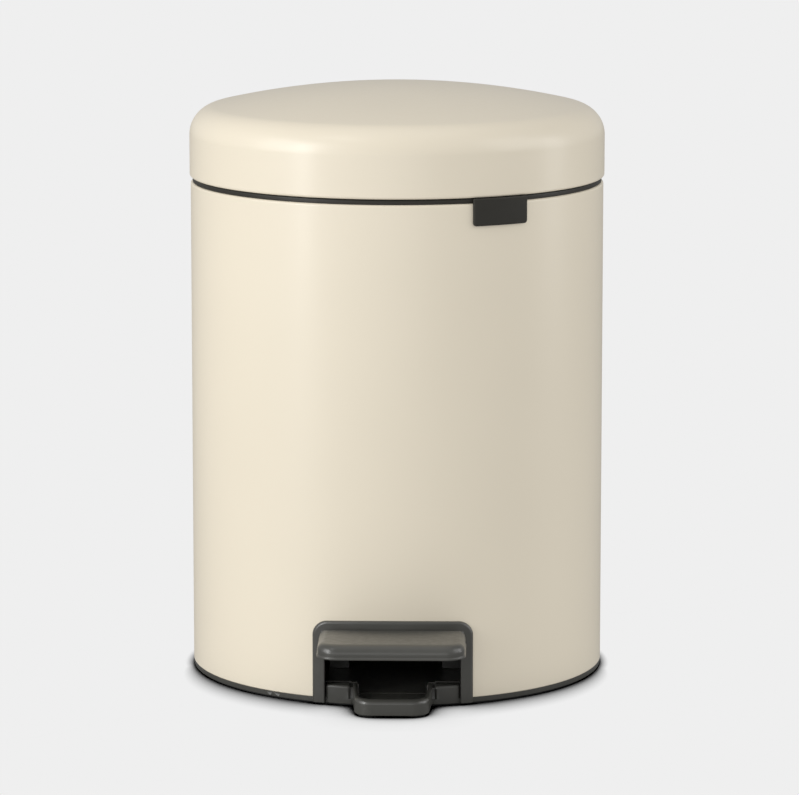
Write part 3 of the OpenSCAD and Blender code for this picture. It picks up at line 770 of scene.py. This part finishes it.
# CAD shapes that only need their edges broken: width and steps of the rounding. On those in
# STRAIGHT_ONLY it would fold over where round and flat faces meet, so the short edges that
# round faces are made of stay as they are.
SOFTENED = {
    "floor_ring": (0.25, 2), "tongue_pads": (0.25, 2),
    "axle_caps": (0.7, 2), "axle_cap_screws": (0.35, 2), "lever_buffer": (0.4, 2),
    "bucket_seat": (0.5, 2), "seat_screws": (0.4, 2), "rod_guide": (0.4, 2),
    "guide_rivets": (0.3, 2), "hinge_housing": (0.6, 3), "hinge_backplate": (0.2, 1),
    "housing_screws": (0.4, 2), "hinge_pin": (0.4, 2), "damper_body": (0.3, 2),
    "lever_axle": (0.4, 2), "lid_liner": (0.25, 2), "lid_bumpers": (0.4, 2),
    "hinge_arm": (0.4, 2), "arm_screws": (0.4, 2), "damper_rotor": (0.25, 2),
    "pedal_lever": (0.25, 2), "pad_screws": (0.35, 2), "lever_bushes": (0.3, 2),
    "push_rod": (0.3, 2), "rod_clips": (0.2, 1), "bail_grip": (0.9, 3),
}
STRAIGHT_ONLY = {"rod_guide", "hinge_backplate", "hinge_arm"}
SHORT_EDGE = 0.5
for node, (width, steps) in SOFTENED.items():
    bm = cad_copy(node)
    if node == "hinge_housing":
        # only outside: the rim of its hand grip and its ribs are too thin to round
        side, back = box_mm(node)[1].xy - Vector((1.5, 1.5))
        round_edges(bm, width, steps, 60,
                    lambda p: p.z > 190 and (abs(p.x) > side or p.y > back))
    elif node == "pedal_lever":
        # not at the fork round the rod's pin, where round and flat faces meet
        round_edges(bm, width, steps, 80, lambda p: p.y < 70)
    else:
        round_edges(bm, width, steps, shortest=SHORT_EDGE if node in STRAIGHT_ONLY else 0.0)
    piece(node, bm)
piece("bail_wire", cad_copy("bail_wire"))

# ---------- floor, light and camera ----------


def make_floor(backdrop, bounce, gloss):
    """The camera sees an evenly lit floor with a soft contact shadow. What it throws back on
    the object, and what glossy surfaces mirror of it, are set apart from that."""
    bm = bmesh.new()
    bmesh.ops.create_grid(bm, x_segments=1, y_segments=1, size=12)
    mesh = bpy.data.meshes.new("floor")
    bm.to_mesh(mesh)
    bm.free()
    floor = bpy.data.objects.new("floor", mesh)
    scene.collection.objects.link(floor)
    material = bpy.data.materials.new("pale_floor")
    m = Tree(material)
    # The shadow reaches further in front of the can than beside it, in metres.
    reach_in_front, reach_beside = 0.028, 0.005
    flat = m.add("ShaderNodeVectorMath", operation="NORMALIZE")
    m.join(m.add("ShaderNodeTexCoord"), "Object", flat, 0)
    axes = m.add("ShaderNodeSeparateXYZ")
    m.join(flat, "Vector", axes, "Vector")
    reach = m.spread((axes, "Y"), reach_in_front, reach_beside, -1, -0.15)
    near = m.add("ShaderNodeAmbientOcclusion", samples=16)
    m.join(*reach, near, "Distance")
    # It is black where nearly half of the sky is hidden, and climbs to the backdrop's grey.
    dark_until, climb = 0.54, 0.7
    curve = m.add("ShaderNodeMath", operation="POWER")
    m.join(*m.spread((near, "AO"), 0, 1, dark_until, 1), curve, 0)
    curve.inputs[1].default_value = climb
    glow = m.add("ShaderNodeEmission")
    m.join(*m.spread((curve, "Value"), 0, backdrop, 0, 1), glow, "Color")
    path = m.add("ShaderNodeLightPath")
    mirrored = m.spread((path, "Is Glossy Ray"), bounce, gloss, 0, 1)
    seen = m.spread((path, "Is Camera Ray"), bounce, 1, 0, 1)
    m.join(*mirrored, seen[0], "To Min")
    m.join(*seen, glow, "Strength")
    m.join(glow, "Emission", m.add("ShaderNodeOutputMaterial"), "Surface")
    mesh.materials.append(material)


def make_world(backdrop, fill, gloss):
    """The camera sees a plain backdrop. The object is lit by a softer fill, and what glossy
    surfaces mirror of it is darker still, like the unlit parts of a studio."""
    world = bpy.data.worlds.new("studio")
    scene.world = world
    m = Tree(world)
    path = m.add("ShaderNodeLightPath")
    lit, mirrored, seen = (
        m.add("ShaderNodeBackground", Color=(grey, grey, grey, 1))
        for grey in (fill, gloss, backdrop))
    for ray, other in (("Is Glossy Ray", mirrored), ("Is Camera Ray", seen)):
        choice = m.add("ShaderNodeMixShader")
        m.join(path, ray, choice, 0)
        m.join(lit, 0, choice, 1)
        m.join(other, 0, choice, 2)
        lit = choice
    m.join(lit, 0, m.add("ShaderNodeOutputWorld"), "Surface")


def make_light(name, azimuth, elevation, distance, size, power):
    """A soft light, aimed at the middle of the object. Azimuth 0 is the front."""
    data = bpy.data.lights.new(name, "AREA")
    data.shape = "RECTANGLE"
    data.size, data.size_y = size
    data.energy = power
    light = bpy.data.objects.new(name, data)
    a, e = math.radians(azimuth), math.radians(elevation)
    aim = Vector((0, 0, 0.15))
    out = Vector((math.sin(a) * math.cos(e), -math.cos(a) * math.cos(e), math.sin(e)))
    light.location = aim + out * distance
    light.rotation_euler = (-out).to_track_quat("-Z", "Y").to_euler()
    scene.collection.objects.link(light)


def make_camera():
    data = bpy.data.cameras.new("camera")
    data.lens = 210.8
    data.sensor_fit = "HORIZONTAL"
    data.sensor_width = 36
    data.shift_x = 0.00304
    data.clip_start, data.clip_end = 0.05, 40
    camera = bpy.data.objects.new("camera", data)
    turn, look_down = math.radians(1.25), math.radians(9.532)
    distance, height = 2.301, 0.5206
    camera.location = (distance * math.sin(turn), -distance * math.cos(turn), height)
    camera.rotation_euler = (math.radians(90) - look_down, 0, turn)
    scene.collection.objects.link(camera)
    scene.camera = camera


# azimuth and elevation in degrees, distance and size in metres, power in watts
LIGHTS = {
    "key": (-65, 20, 1.8, (0.9, 1.2), 8.6),
    "key_strip": (-50, 12, 1.8, (0.3, 1.3), 9.6),
    "key_above": (-42, 57, 1.8, (0.5, 0.3), 1.2),
    "low": (-10, 3, 1.2, (1.2, 0.3), 1.0),
    "right_front": (70, 25, 1.8, (0.9, 1.2), 4.6),
    "right": (95, 10, 1.8, (0.5, 1.2), 4.4),
    "above": (0, 86, 1.6, (1.2, 1.2), 1.4),
}
BACKDROP = 0.863
make_floor(BACKDROP, bounce=0.68, gloss=0.25)
make_world(BACKDROP, fill=0.57, gloss=0.4)
for name, values in LIGHTS.items():
    make_light(name, *values)
make_camera()
scene.view_settings.view_transform = "Standard"
